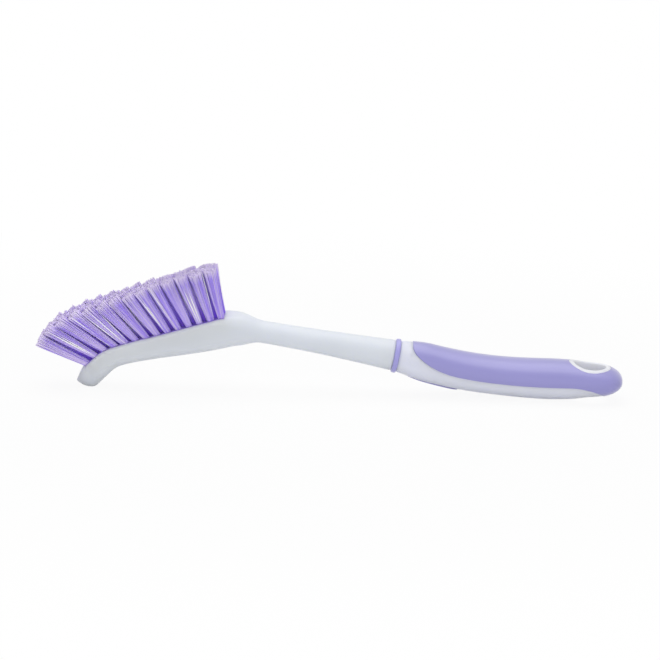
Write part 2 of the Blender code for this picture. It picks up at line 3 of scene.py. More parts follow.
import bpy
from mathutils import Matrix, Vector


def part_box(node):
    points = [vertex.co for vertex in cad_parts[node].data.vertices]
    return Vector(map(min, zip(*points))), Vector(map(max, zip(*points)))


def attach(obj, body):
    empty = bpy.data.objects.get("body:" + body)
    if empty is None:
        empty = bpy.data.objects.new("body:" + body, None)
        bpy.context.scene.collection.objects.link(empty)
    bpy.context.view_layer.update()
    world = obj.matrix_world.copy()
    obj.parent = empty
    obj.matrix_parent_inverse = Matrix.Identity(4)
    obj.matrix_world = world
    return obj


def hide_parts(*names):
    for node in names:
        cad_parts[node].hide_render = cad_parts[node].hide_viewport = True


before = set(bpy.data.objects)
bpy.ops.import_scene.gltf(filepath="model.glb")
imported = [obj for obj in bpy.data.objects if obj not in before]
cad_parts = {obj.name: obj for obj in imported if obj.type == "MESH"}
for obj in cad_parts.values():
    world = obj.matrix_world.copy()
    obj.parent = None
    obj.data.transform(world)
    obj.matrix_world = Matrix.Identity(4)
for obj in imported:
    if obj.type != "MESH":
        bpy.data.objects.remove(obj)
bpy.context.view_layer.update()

import math

import bmesh
import bpy
import numpy as np
from bpy.props import FloatProperty, FloatVectorProperty, IntProperty, PointerProperty
from bpy.types import Operator, Panel, PropertyGroup
from mathutils import Matrix, Vector

bl_info = {
    "name": "Tile brush looks",
    "version": (1, 0, 0),
    "blender": (4, 5, 0),
    "location": "View3D > Sidebar > Tile Brush",
    "description": "Moulded body, soft grip, bristles and stage of a tile brush",
    "category": "Object",
}

BODY = "root"
QUARTER = math.pi / 2

# Points closer than a weld are merged, which also closes a step of a hair.
WELD, HAIR = 2e-6, 1e-7

# Stations of the body that other pieces refer to, and the rows of tufts that stand between others,
# whose filaments get painted shade near their roots.
FRONT, BACK, WAIST, NECK_BAND, EYELET = 2, 4, 6, 7, 11
INNER_ROWS = (2, 3)

# Steps round a whole section, and rings and sides of a filament.
AROUND, RINGS, SIDES = 96, 7, 6

# The brow's end of the plate: where it starts to fall and the length of the fall. The shoulder's end:
# the length of the climb and how far past the back it ends.
FALL_START, FALL, CLIMB, CLIMB_PAST = 0.008, 0.006, 0.009, 0.006

# Share of the back's run by which the shoulder's softer edge begins ahead of the back.
EDGE_AHEAD = 0.4

# Depth of the hollow beside the band, as a share of a quarter circle.
HOLLOW = 0.35

# Sockets of a Mix node that mixes colours.
SHARE, FIRST, SECOND, MIXED = 0, 6, 7, 2
WHITE = (1.0, 1.0, 1.0, 1.0)

# Frosted hard plastic and soft plastic: depth is the share of the light that goes in, and radius is how
# far it spreads there.
FROSTED = {"roughness": 0.42, "depth": 0.5, "radius": 0.008, "gloss": 0.3, "sheen": 0.0}
SOFT = {"roughness": 0.32, "depth": 0.03, "radius": 0.002, "gloss": 0.6, "sheen": 0.7}


def length(name, default, description):
    """Property for one length."""
    return FloatProperty(name=name, default=default, description=description, unit="LENGTH", precision=5)


def slant(name, default, description):
    """Property for one angle, given in degrees."""
    return FloatProperty(name=name, default=math.radians(default), description=description,
                         unit="ROTATION")


def plain_number(name, default, description, **limits):
    """Property for one plain number."""
    return FloatProperty(name=name, default=default, description=description, **limits)


def portion(name, default, description):
    """Property for one share, from 0 to 1."""
    return plain_number(name, default, description, min=0.0, max=1.0)


def colour(name, default, description):
    """Property for one colour."""
    return FloatVectorProperty(name=name, default=default, description=description, subtype="COLOR",
                               min=0.0, max=1.0)


def per_station(name, unit, default, description):
    """Property for one value at each station, or for each run between two."""
    return FloatVectorProperty(name=name, default=default, description=description, unit=unit,
                               size=len(default))


class BodySizes(PropertyGroup):
    """Moulded body, by its 13 stations: nose, brow, front, middle, back, shoulder, waist, band, heel,
    palm, belly, eyelet and tail."""

    slopes: per_station("Slopes", "ROTATION", tuple(math.radians(slope) for slope in (
        64.3, 47.6, 18.1, 13.0, 14.3, -3.4, -8.1, -9.5, -13.4, -5.2, 0.0, 0.6, 1.8)),
        "Slope of the spine at each station")
    thicknesses: per_station("Thicknesses", "LENGTH", (
        0.0089, 0.0114, 0.0108, 0.0116, 0.0151, 0.0146, 0.0102, 0.0144, 0.0174, 0.0172, 0.0181, 0.0157,
        0.0096), "Thickness at each station")
    widths: per_station("Widths", "LENGTH", (
        0.0140, 0.0175, 0.0185, 0.0187, 0.0187, 0.0168, 0.0122, 0.0162, 0.0204, 0.0236, 0.0246, 0.0246,
        0.0210), "Width at each station")
    runs: per_station("Runs", "LENGTH", (
        0.0134, 0.0101, 0.0130, 0.0351, 0.0089, 0.0107, 0.0626, 0.0154, 0.0293, 0.0277, 0.0183, 0.0151),
        "Length of spine from each station to the next")
    nose_dome: length("Nose dome", 0.0019, "Length over which the nose rounds off")
    nose_bluntness: plain_number("Nose bluntness", 5.7, "2 is an ellipse")
    nose_plan: length("Nose plan", 0.0090, "Length over which the nose narrows, seen from above")
    plan_bluntness: plain_number("Plan bluntness", 2.0, "2 is an ellipse")
    tail_dome: length("Tail dome", 0.0082, "Length over which the tail rounds off")
    tail_bluntness: plain_number("Tail bluntness", 2.5, "2 is an ellipse")
    plate_edge: length("Plate edge", 0.0014, "Height over which the bristle plate's edge rounds off")
    plate_crown: length("Plate crown", 0.0028, "Width over which the plate's top falls to that edge")
    plate_drop: length("Plate drop", 0.0008, "How far the bristle plate lies below the shoulder's line")
    nose_edge: length("Nose edge", 0.0045, "Rounding of the same edge at the nose")
    shoulder_edge: length("Shoulder edge", 0.0040, "Rounding of the same edge at the shoulder")
    underside: length("Underside", 0.0050, "Rounding of the head's underside")
    nose_flat: length("Nose flat", 0.0017, "Depth of the flat under the nose")
    flat_edge: length("Flat edge", 0.0005, "Height over which the nose rounds into its flat")
    hole_radius: length("Hole radius", 0.00155, "Radius of a tuft's hole")
    hole_depth: length("Hole depth", 0.0062, "Depth of a tuft's hole")


class GripSizes(PropertyGroup):
    """Soft grip, neck band, finger pad and hang hole."""

    start: length("Start", 0.0063, "From the band to the front of the grip")
    thickness: length("Thickness", 0.0020, "Thickness of the soft grip")
    proud: length("Proud", 0.0003, "How far the grip stands above the body")
    front_sweep: length("Front sweep", 0.0244, "Length of the edge's front curve")
    rear_sweep: length("Rear sweep", 0.0166, "Length of the edge's rear curve")
    rear_before_end: length("Rear end", 0.0088, "From the end of the edge to the end of the body")
    parting: plain_number("Parting height", -0.09, "Height of the edge, as a share of half the thickness")
    gap: length("Gap", 0.00004, "Gap along the grip's edge")
    lip: length("Lip", 0.00014, "Rounding of the soft pieces' edges")
    body_lip: length("Body lip", 0.00012, "Rounding of the body's edge along the grip")
    fillet: length("Fillet", 0.0016, "Hollow in the neck on either side of the band")
    band_width: length("Band width", 0.0024, "Width of the neck band")
    band_proud: length("Band proud", 0.0007, "How far the band stands above the neck")
    band_depth: length("Band depth", 0.0010, "Depth of the band's groove")
    pad_start: length("Pad start", 0.0067, "From the band to the finger pad")
    pad_length: length("Pad length", 0.0245, "Length of the finger pad")
    pad_angle: slant("Pad angle", 24, "Half of the pad's reach round the handle")
    pad_front: length("Pad front", 0.0002, "How far the pad stands out at its front")
    pad_rear: length("Pad rear", 0.0006, "How far the pad stands out at its rear")
    hole_length: length("Hole length", 0.0148, "Length of the hang hole")
    hole_width: length("Hole width", 0.0132, "Width of the hang hole")
    rim_wall: length("Rim wall", 0.0024, "Thickness of the white wall round the hang hole")
    rim_proud: length("Rim proud", 0.0004, "How far the rim stands above the grip's side of the body")
    rim_sunk: length("Rim sunk", 0.0003, "How far the rim lies below the underside")
    rim_rounding: length("Rim rounding", 0.0010, "Height over which the rim rounds into the hole")
    rim_shoulder: length("Rim shoulder", 0.0003, "Height that the rim loses towards the grip")


class BristleSizes(PropertyGroup):
    """Filaments of the tufts."""

    per_tuft: IntProperty(name="Filaments", default=90, min=8, description="Filaments in one tuft")
    length: length("Length", 0.0226, "Length of the filaments above the plate")
    radius: length("Radius", 0.00025, "Radius of a filament")
    root_spread: length("Root spread", 0.00125, "Radius of a tuft where it leaves its hole")
    tip_spread: length("Tip spread", 0.00295, "Radius of a tuft at its tips")
    unevenness: length("Unevenness", 0.00042, "How far the tips of a tuft differ in length")
    tuft_unevenness: length("Tuft unevenness", 0.00045, "How far the tufts differ in length")
    nose_extra: length("Nose extra", 0.0016, "How much longer the last tufts at the nose are")
    nose_lean: slant("Nose lean", 4, "How much further forward the last tufts at the nose lean")
    stray: length("Stray", 0.00014, "How far the tips wander sideways")
    bow: length("Bow", 0.00014, "How far a filament bows out at its middle")
    clear_share: portion("Clear share", 0.06, "Share of a tuft's outer filaments that are clear")
    seed: IntProperty(name="Seed", default=7, description="Picks one arrangement of the filaments")


class Finish(PropertyGroup):
    """Colours of the brush, some of which are painted light and shade."""

    white: colour("White", (0.765, 0.786, 0.910), "Frosted white of the body, as it shows on the handle")
    # Painted shade: the head and the neck are greyer than the handle's white.
    head: colour("Head tint", (0.931, 0.948, 0.877), "What the head and the neck keep of that white")
    # Painted light: the rim is whiter than the body, so that the inside of the hang hole looks lit.
    rim: colour("Rim", (0.870, 0.880, 0.980), "Clearer white of the hang hole's rim")
    grip: colour("Grip", (0.312, 0.295, 0.625), "Lilac of the soft grip")
    band: colour("Band", (0.370, 0.350, 0.740), "Lilac of the neck band")
    pad: colour("Pad", (0.320, 0.300, 0.600), "Darker lilac of the finger pad")
    deep: colour("Deep bristle", (0.430, 0.300, 1.000), "Lilac of the deepest filaments")
    pale: colour("Pale bristle", (0.730, 0.625, 1.000), "Lilac of the palest filaments")
    # Painted shade among the tufts, near the roots of the rows between others.
    shaded: colour("Shaded bristle", (0.300, 0.150, 0.950), "Lilac between the tufts, near their roots")
    # Painted light: the filaments are paler at their ends, where light comes through the tips.
    tip: colour("Bristle tip", (0.880, 0.800, 1.000), "Paler lilac at the filaments' ends")
    # Painted glint: white laid on a stretch of each clear filament; elsewhere it is lilac like the
    # others.
    clear: colour("Clear", (1.000, 0.990, 1.000), "Colour of the clear filaments")
    # Painted shade on the plate under the bristles, tinted violet as the light among them.
    plate_painted_shade: colour("Bristle light", (0.330, 0.220, 0.800), "Tint of the plate under the bristles")


class StageSizes(PropertyGroup):
    """Camera and light."""

    elevation: slant("Elevation", 15, "Height of the camera above the horizon")
    roll: slant("Roll", 1.63, "Clockwise lean of the picture")
    distance: length("Distance", 1.1, "From the camera to its target")
    target: FloatVectorProperty(name="Target", default=(-0.00163, 0.0, 0.02952), unit="LENGTH",
                                description="Point at the middle of the picture")
    field: length("Field", 0.3046, "Width that the picture takes in at the target")
    world: plain_number("World light", 0.45, "Strength of the even light")
    key: plain_number("Key light", 5.5, "Watts of the large lamp overhead")
    fill: plain_number("Fill light", 2.7, "Watts of the lamp at the front")
    shadow_share: portion("Shadow share", 0.08, "How much of the floor's shadow the camera sees")


class BrushSettings(PropertyGroup):
    """Everything that the operators read."""

    body: PointerProperty(type=BodySizes)
    grip: PointerProperty(type=GripSizes)
    bristles: PointerProperty(type=BristleSizes)
    finish: PointerProperty(type=Finish)
    stage: PointerProperty(type=StageSizes)


def settings():
    """The scene's own settings."""
    return bpy.context.scene.tile_brush


def round_turn(steps):
    """Angles of a whole turn in equal steps, without the last one, which is the first again."""
    return np.linspace(0, 4 * QUARTER, steps, endpoint=False)


def dome(distance, depth, bluntness):
    """Share of the full section inside a rounded end: (1 - (1 - distance/depth)^n)^(1/n)."""
    reach = 1 - np.clip(distance / depth, 0, 1)
    return np.maximum(1 - reach ** bluntness, 0) ** (1 / bluntness)


def rounding(distance, radius):
    """Drop of a surface near an edge, a quarter circle: r (1 - sqrt(1 - (1 - d/r)^2))."""
    reach = 1 - np.clip(distance / radius, 0, 1)
    return radius * (1 - np.sqrt(np.maximum(1 - reach ** 2, 0)))


class Moulding:
    """Skin of the body as a function of length along the spine, angle round it and offset from it.
    The spine is a chain of tangent arcs. Angle 0 is the far side, a quarter turn is the top."""

    def __init__(self):
        self.sizes = settings().body
        self.runs = np.array(self.sizes.runs)
        self.stations = np.concatenate([[0.0], np.cumsum(self.runs)])
        self.end = self.stations[-1]
        self.shift = np.zeros(2)
        self.tip(0.0)
        self.settle()

    def tip(self, pitch):
        """Lay the chain of arcs out again at a pitch. An arc's chord is its length times sin(a)/a,
        with a half its turn, and it points along the mean of its end slopes."""
        self.pitch = pitch
        self.slopes = np.array(self.sizes.slopes) + pitch
        turns = np.diff(self.slopes)
        chords = self.runs * np.sinc(turns / (2 * math.pi))
        middle = self.slopes[:-1] + turns / 2
        steps = np.stack([chords * np.cos(middle), chords * np.sin(middle)], axis=1)
        self.joints = np.concatenate([np.zeros((1, 2)), np.cumsum(steps, axis=0)])

    def settle(self):
        """Tip the body until the nose's flat and the belly share the ground, then put it where the
        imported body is: its lowest Z at 0 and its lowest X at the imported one's."""
        rounds, past_tip, nose_rows, belly_rows, head_rows = 6, 0.05, 24, 160, 120
        around = np.linspace(0, 4 * QUARTER, AROUND + 1)
        nose = self.sizes.nose_dome * (1 - np.cos(np.linspace(past_tip, QUARTER, nose_rows)))
        belly = np.linspace(self.stations[NECK_BAND], self.end - self.sizes.tail_dome, belly_rows)
        for _ in range(rounds):
            low = []
            for rows in (nose, belly):
                points = self.skin(rows[:, None], around[None, :]).reshape(-1, 3)
                low.append(points[points[:, 2].argmin()])
            drop = low[1][2] - low[0][2] - self.sizes.nose_flat
            self.tip(self.pitch - math.atan2(drop, low[1][0] - low[0][0]))
        head = self.skin(np.linspace(0, self.stations[FRONT], head_rows)[:, None], around[None, :])
        self.shift = np.array([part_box("core")[0].x - head[..., 0].min(), -low[1][2]])

    def run_at(self, s):
        """Number of the run that holds each length along the spine."""
        return np.clip(np.searchsorted(self.stations, s, side="right") - 1, 0, len(self.runs) - 1)

    def spine(self, s):
        """Centre X and Z and slope at lengths along the spine."""
        i = self.run_at(s)
        run = s - self.stations[i]
        turn = (self.slopes[i + 1] - self.slopes[i]) * np.minimum(run / self.runs[i], 1)
        chord = run * np.sinc(turn / (2 * math.pi))
        x = self.joints[i, 0] + chord * np.cos(self.slopes[i] + turn / 2)
        z = self.joints[i, 1] + chord * np.sin(self.slopes[i] + turn / 2)
        return x + self.shift[0], z + self.shift[1], self.slopes[i] + turn

    def blend(self, values, s):
        """Values between the stations, by cubics that never overshoot a station's value: the slope at
        a station is the weighted harmonic mean of the slopes beside it, and 0 where these differ in
        sign."""
        values = np.array(values)
        gaps = np.diff(self.stations)
        rises = np.diff(values) / gaps
        same = rises[:-1] * rises[1:] > 0
        before = (2 * gaps[1:] + gaps[:-1])[same]
        after = (gaps[1:] + 2 * gaps[:-1])[same]
        inner = np.zeros(len(same))
        inner[same] = (before + after) / (before / rises[:-1][same] + after / rises[1:][same])
        tangents = np.concatenate([rises[:1], inner, rises[-1:]])
        s = np.clip(s, 0, self.end)
        i = self.run_at(s)
        t = (s - self.stations[i]) / gaps[i]
        start = (1 + 2 * t) * (1 - t) ** 2 * values[i] + t * (1 - t) ** 2 * gaps[i] * tangents[i]
        return start + t * t * (3 - 2 * t) * values[i + 1] + t * t * (t - 1) * gaps[i] * tangents[i + 1]

    def half_sizes(self, s, offset=0.0):
        """Half width and half height, grown by the offset and drawn in by the domed ends."""
        sizes = self.sizes
        nose_across = dome(s, sizes.nose_plan, sizes.plan_bluntness)
        nose_up = dome(s, sizes.nose_dome, sizes.nose_bluntness)
        tail = dome(self.end + offset - s, sizes.tail_dome + offset, sizes.tail_bluntness)
        return ((self.blend(sizes.widths, s) / 2 + offset) * nose_across * tail,
                (self.blend(sizes.thicknesses, s) / 2 + offset) * nose_up * tail)

    def plate_depth(self, s):
        """Depth of the bristle plate: it falls over the brow and climbs again over the back. Where the
        two shares overlap they are multiplied, and the product p is smoothed to 3p^2 - 2p^3."""
        fall = np.clip((s - FALL_START) / FALL, 0, 1)
        climb = np.clip((self.stations[BACK] + CLIMB_PAST - s) / CLIMB, 0, 1)
        both = fall * climb
        return self.sizes.plate_drop * both * both * (3 - 2 * both)

    def skin(self, s, angle, offset=0.0):
        """Points of the skin. The section's four corners are quarter ellipses with flats between them,
        and they grow from the plate's small corners on the head to a full ellipse on the handle. The
        plate's depth lowers what stands above half of the half height, and nothing below a quarter."""
        sizes = self.sizes
        s, angle, offset = np.broadcast_arrays(np.asarray(s, float), angle, offset)
        half_width, half_height = self.half_sizes(s, offset)
        t = np.clip((s - self.stations[BACK]) / (self.stations[WAIST] - self.stations[BACK]), 0, 1)
        full = t * t * (3 - 2 * t)
        bare = np.clip(1 - s / self.runs[0], 0, 1)
        behind = np.clip((s - self.stations[BACK]) / self.runs[BACK] + EDGE_AHEAD, 0, 1)
        edge = sizes.plate_edge + (sizes.nose_edge - sizes.plate_edge) * bare
        edge = edge + (sizes.shoulder_edge - sizes.plate_edge) * behind
        sine, cosine = np.sin(angle), np.cos(angle)
        wide = np.maximum(edge, sizes.plate_crown * (1 - behind) * (1 - bare))
        corner_width = np.where(sine >= 0, wide, sizes.underside)
        corner_height = np.where(sine >= 0, edge, sizes.underside)
        across = np.minimum(corner_width, half_width) * (1 - full) + half_width * full
        upward = np.minimum(corner_height, half_height) * (1 - full) + half_height * full
        y = np.sign(cosine) * (half_width - across + across * np.abs(cosine))
        up = np.sign(sine) * (half_height - upward + upward * np.abs(sine))
        raised = np.clip(4 * up / np.maximum(half_height, HAIR) - 1, 0, 1)
        up = up - self.plate_depth(s) * raised
        x, z, slope = self.spine(s)
        return np.stack([x - up * np.sin(slope), y, z + up * np.cos(slope)], axis=-1)


class GripEdge:
    """Line where the soft grip ends: down in a quarter ellipse at the front, level along the handle
    and out through the underside in another quarter ellipse."""

    def __init__(self, moulding, gap=0.0):
        sizes = settings().grip
        sweep_rows, level_rows = 33, 42
        self.moulding = moulding
        self.front = moulding.stations[NECK_BAND] + sizes.start + gap
        self.leave = moulding.end - sizes.rear_before_end + gap
        sweep = np.linspace(0, QUARTER, sweep_rows)
        front = self.front + sizes.front_sweep * (1 - np.cos(sweep))
        front_share = 1 - (1 - sizes.parting) * np.sin(sweep)
        rear = self.leave - sizes.rear_sweep * (1 - np.sin(sweep))
        rear_share = sizes.parting - (1 + sizes.parting) * (1 - np.cos(sweep))
        middle = np.linspace(front[-1], rear[0], level_rows)[1:-1]
        self.rows = np.concatenate([front, middle, rear])
        height = np.concatenate([front_share, np.full(len(middle), sizes.parting), rear_share])
        half_height = moulding.half_sizes(self.rows)[1]
        self.angles = np.arcsin(np.clip(height + gap / half_height, -1, 1))
        self.angles[0] = QUARTER
        self.angles[-1] = -QUARTER

    def fall(self, points, radius):
        """Drop of points near the line, whose edge is rounded to that radius."""
        return rounding(distance_to_line(points, self.moulding.skin(self.rows, self.angles)), radius)

    def patch(self, offset, tail_rows):
        """Rows of the patch above the line, at that offset from the skin, and the angle at which each
        row starts: first along the line, then from underneath round the end of the body."""
        smallest_step = 0.0002
        tail_dome = self.moulding.sizes.tail_dome + offset
        tail = self.moulding.end + offset - tail_dome * (1 - np.sin(np.linspace(0, QUARTER, tail_rows)))
        tail = tail[tail > self.leave + smallest_step]
        start = np.concatenate([self.angles, np.full(len(tail), -QUARTER)])
        return np.concatenate([self.rows, tail])[:, None], start[:, None]


def distance_to_line(points, line):
    """Distance of each point from a polyline, with both sides of the brush folded onto one."""
    batch, least = 500, 1e-18
    flat = points.reshape(-1, 3) * (1, 0, 1) + np.abs(points.reshape(-1, 3)) * (0, 1, 0)
    start = line[:-1]
    along = np.diff(line, axis=0)
    square = np.maximum((along ** 2).sum(axis=1), least)
    nearest = []
    for part in np.array_split(flat, max(len(flat) // batch, 1)):
        rel = part[:, None] - start[None]
        t = np.clip((rel * along).sum(axis=2) / square, 0, 1)
        nearest.append(np.sqrt(((rel - t[..., None] * along) ** 2).sum(axis=2)).min(axis=1))
    return np.concatenate(nearest).reshape(points.shape[:-1])


def grid_faces(rows, columns, first=0, wrap=False):
    """Corner numbers of the quads of a grid, row by row."""
    i, j = np.meshgrid(np.arange(rows - 1), np.arange(columns if wrap else columns - 1), indexing="ij")
    k = (j + 1) % columns
    quads = np.stack([i * columns + j, i * columns + k, (i + 1) * columns + k, (i + 1) * columns + j], -1)
    return quads.reshape(-1, 4) + first


def join_grids(grids, wrap):
    """Vertices and quads of several grids of points."""
    faces, first = [], 0
    for points in grids:
        rows, columns = points.shape[:2]
        faces.append(grid_faces(rows, columns, first, wrap))
        first += rows * columns
    return np.concatenate([points.reshape(-1, 3) for points in grids]), np.concatenate(faces)


def mesh_from_quads(name, vertices, faces):
    """Mesh from arrays of points and quads."""
    mesh = bpy.data.meshes.new(name)
    mesh.vertices.add(len(vertices))
    mesh.vertices.foreach_set("co", vertices.astype(np.float32).ravel())
    mesh.loops.add(faces.size)
    mesh.loops.foreach_set("vertex_index", faces.astype(np.int32).ravel())
    mesh.polygons.add(len(faces))
    mesh.polygons.foreach_set("loop_start", np.arange(0, faces.size, 4, dtype=np.int32))
    mesh.update(calc_edges=True)
    return mesh


def add_object(name, data):
    """New object in the scene."""
    made = bpy.data.objects.new(name, data)
    bpy.context.scene.collection.objects.link(made)
    return made


def piece_from_grids(name, grids, wrap=False):
    """Closed object from grids that meet along their edges, each wrapped round on itself if asked. What
    coincides is merged, so that seams and poles close, and every face is turned outwards."""
    mesh = mesh_from_quads(name, *join_grids(grids, wrap))
    work = bmesh.new()
    work.from_mesh(mesh)
    bmesh.ops.remove_doubles(work, verts=work.verts, dist=WELD)
    bmesh.ops.dissolve_degenerate(work, edges=work.edges, dist=WELD / 2)
    bmesh.ops.recalc_face_normals(work, faces=work.faces)
    work.to_mesh(mesh)
    work.free()
    return add_object(name, mesh)


def piece_from_ring(name, sections):
    """Closed object from sections that follow each other round in a ring."""
    return piece_from_grids(name, [np.concatenate([sections, sections[:1]])], wrap=True)


def side_walls(upper, lower):
    """Grids that join the first columns of two patches, and the last ones."""
    return [np.stack([upper[:, side], lower[:, side]], axis=1) for side in (0, -1)]


def cut(piece, *cutters):
    """Take cutters out of a piece for good."""
    for cutter in cutters:
        modifier = piece.modifiers.new(cutter.name, "BOOLEAN")
        modifier.operation = "DIFFERENCE"
        modifier.object = cutter
        modifier.solver = "EXACT"
    graph = bpy.context.evaluated_depsgraph_get()
    mesh = bpy.data.meshes.new_from_object(piece.evaluated_get(graph))
    piece.modifiers.clear()
    piece.data = mesh
    for cutter in cutters:
        bpy.data.objects.remove(cutter)


def finish_piece(piece, material, nodes=(), sharp=math.radians(38)):
    """Material, smooth shading and place in the frame of a finished piece."""
    piece.data.materials.clear()
    piece.data.materials.append(material)
    piece.data.shade_smooth()
    piece.data.set_sharp_from_angle(angle=sharp)
    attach(piece, BODY)
    if nodes:
        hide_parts(*nodes)


def edge_columns():
    """Shares from 0 to 1 across a patch: close together at both edges, and double where a quarter of
    the whole turn ends, so that a flat can open there."""
    close = [0.0, 0.0012, 0.0026, 0.0045, 0.0075, 0.0115]
    next_share, steps = 0.0155, 13
    first = np.linspace(next_share, 0.25 - HAIR, steps)
    second = np.linspace(0.25 + HAIR, 0.5 - HAIR, steps + 2)
    half = np.concatenate([close, first, second])
    return np.concatenate([half, 1 - half[::-1]])[None, :]


def hang_oval(moulding, turn, around):
    """Middle of the hang hole along X, and X and Y of an oval wider than the hole by a margin."""
    sizes = settings().grip
    centre = moulding.spine(moulding.stations[EYELET])[0]
    x = centre + (sizes.hole_length / 2 + around) * np.cos(turn)
    return centre, x, (sizes.hole_width / 2 + around) * np.sin(turn)


def oval_cutter(name, moulding, around):
    """Upright oval prism through the hang hole, wider than it by a margin. It is turned by a little, so
    that none of its corners lies on the body's middle line."""
    low, high, skew = -0.01, 0.035, 0.01
    centre, x, y = hang_oval(moulding, round_turn(AROUND) + skew, around)
    walls = np.stack([np.stack([x, y, np.full_like(x, z)], -1) for z in (low, high)])
    hubs = [np.broadcast_to((centre, 0.0, z), walls[0].shape) for z in (low, high)]
    caps = [np.stack(pair) for pair in zip(walls, hubs)]
    return piece_from_grids(name, [walls, *caps], wrap=True)


def tuft_axes():
    """Mouth and direction of each packed tuft, by row: the lower end is the middle of its root, and
    the upper end the middle of its tips. A root stands a little above the bottom of its hole."""
    root_slice, tip_slice, root_play = 0.0006, 0.0026, 0.0003
    found = {}
    for name, node in sorted(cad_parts.items()):
        if not name.startswith("tuft_row"):
            continue
        flat = np.empty(3 * len(node.data.vertices), np.float32)
        node.data.vertices.foreach_get("co", flat)
        points = np.unique(flat.reshape(-1, 3).astype(float).round(7), axis=0)
        centre = points.mean(axis=0)
        axis = np.linalg.svd(points - centre, full_matrices=False)[2][0]
        axis = axis * np.sign(axis[2])
        height = (points - centre) @ axis
        root = points[height < height.min() + root_slice].mean(axis=0)
        tips = points[height > height.max() - tip_slice].mean(axis=0)
        axis = (tips - root) / np.linalg.norm(tips - root)
        mouth = root + axis * (settings().body.hole_depth - root_play)
        row = int(name.removeprefix("tuft_row").split("_")[0])
        found.setdefault(row, []).append((name, mouth, axis))
    return found


def side_vectors(axis):
    """Two directions square to an axis, the first one level."""
    level = np.cross((0.0, 1.0, 0.0), axis)
    level = level / np.linalg.norm(level)
    return level, np.cross(axis, level)


def ring_around(turn, level, other):
    """Directions at angles round an axis: cosine times one side vector plus sine times the other."""
    return np.cos(turn)[:, None] * level + np.sin(turn)[:, None] * other


def hole_cutters(axes):
    """Drilled holes as one mesh of separate turned cutters, each a cylinder along its tuft's axis that
    stands above the plate by its own width."""
    sizes = settings().body
    bottom, top, radius, steps = -sizes.hole_depth, 2 * sizes.hole_radius, sizes.hole_radius, 28
    profile = np.array([(0.0, bottom), (radius, bottom), (radius, top), (0.0, top)])[:, :, None, None]
    grids = []
    for row in axes.values():
        for _, mouth, axis in row:
            ring = ring_around(round_turn(steps), *side_vectors(axis))
            grids.append(mouth + profile[:, 0] * ring + profile[:, 1] * axis)
    return piece_from_grids("tuft_hole_cutters", grids, wrap=True)


def body_rows(moulding, edge):
    """Lengths along the spine of the rows ahead of the grip: closest at the nose, beside the band's
    groove, whose walls are a hair long, and at the grip's edge."""
    sizes, waist = settings().body, moulding.stations[WAIST]
    band, half_band = moulding.stations[NECK_BAND], settings().grip.band_width / 2
    fine, coarse, first_step, tip_end, clear = 0.0004, 0.0010, 0.0003, 0.0145, 0.0016
    nose_rows, neck_rows, throat_rows = 13, 24, 6
    beside_groove = np.array([0.0, 0.0001, 0.0002, 0.0004, 0.0006, 0.0009, 0.0012])
    before_edge = np.array([0.0012, 0.0009, 0.0007, 0.00055, 0.0004, 0.00025, 0.0001])
    nose = sizes.nose_dome * (1 - np.cos(np.linspace(0, QUARTER, nose_rows)))
    tip = np.arange(sizes.nose_dome + first_step, tip_end, fine)
    head = np.arange(tip[-1] + 2 * fine, waist, coarse)
    neck = np.linspace(waist, band - half_band - clear, neck_rows)
    groove = np.concatenate([band - half_band - beside_groove[::-1], [band - half_band + HAIR],
                             [band + half_band - HAIR], band + half_band + beside_groove])
    throat = np.linspace(groove[-1], edge.front - clear, throat_rows)[1:]
    return np.concatenate([nose, tip, head, neck, groove, throat, edge.front - before_edge])


def body_grids(moulding):
    """Grids that close the body: the white skin that shows, in two, the seat under the soft grip, and
    the walls between them. Near the grip's edge the skin turns down in a quarter circle, and the
    band's groove is a step in the offset."""
    grip = settings().grip
    edge_reach, seat_tail_rows, seat_columns = 0.003, 17, 49
    edge = GripEdge(moulding)
    before = body_rows(moulding, edge)
    rows = np.concatenate([before, edge.rows])
    start = np.concatenate([np.full(len(before), QUARTER), edge.angles])[:, None]
    angle = start - (2 * start + 2 * QUARTER) * edge_columns()
    flat = moulding.skin(rows[:, None], angle)
    offset = np.zeros(flat.shape[:2])
    near = rows > edge.front - edge_reach
    offset[near] -= edge.fall(flat[near], grip.body_lip)
    past_band = np.abs(rows - moulding.stations[NECK_BAND]) - grip.band_width / 2
    hollow = HOLLOW * rounding(np.maximum(past_band, 0), grip.fillet)
    offset -= np.where(past_band < -HAIR / 2, grip.band_depth, hollow)[:, None]
    skin = moulding.skin(rows[:, None], angle, offset)
    closed = np.concatenate([skin[:len(before) + 1], skin[:len(before) + 1, :1]], axis=1)

    seat_rows, start = edge.patch(-grip.thickness, seat_tail_rows)
    across = np.linspace(0, 1, seat_columns)[None, :]
    seat = moulding.skin(seat_rows, start + (2 * QUARTER - 2 * start) * across, -grip.thickness)
    shown = skin[len(before):]
    return [closed, shown, seat, *side_walls(shown, seat[:len(edge.rows)])]


def rest_on_ground(mesh, moulding):
    """Flat under the nose. Near the ground a height z becomes (z + r)^2 / 4r, which meets the nose at
    z = r and the ground at z = -r without a crease."""
    edge = moulding.sizes.flat_edge
    points = np.empty(3 * len(mesh.vertices), np.float32)
    mesh.vertices.foreach_get("co", points)
    height = points[2::3]
    soft = np.where(height > edge, height, np.clip(height + edge, 0, None) ** 2 / (4 * edge))
    nose = points[0::3] < moulding.spine(moulding.stations[FRONT])[0]
    points[2::3] = np.where(nose, soft, np.maximum(height, 0.0))
    mesh.vertices.foreach_set("co", points)


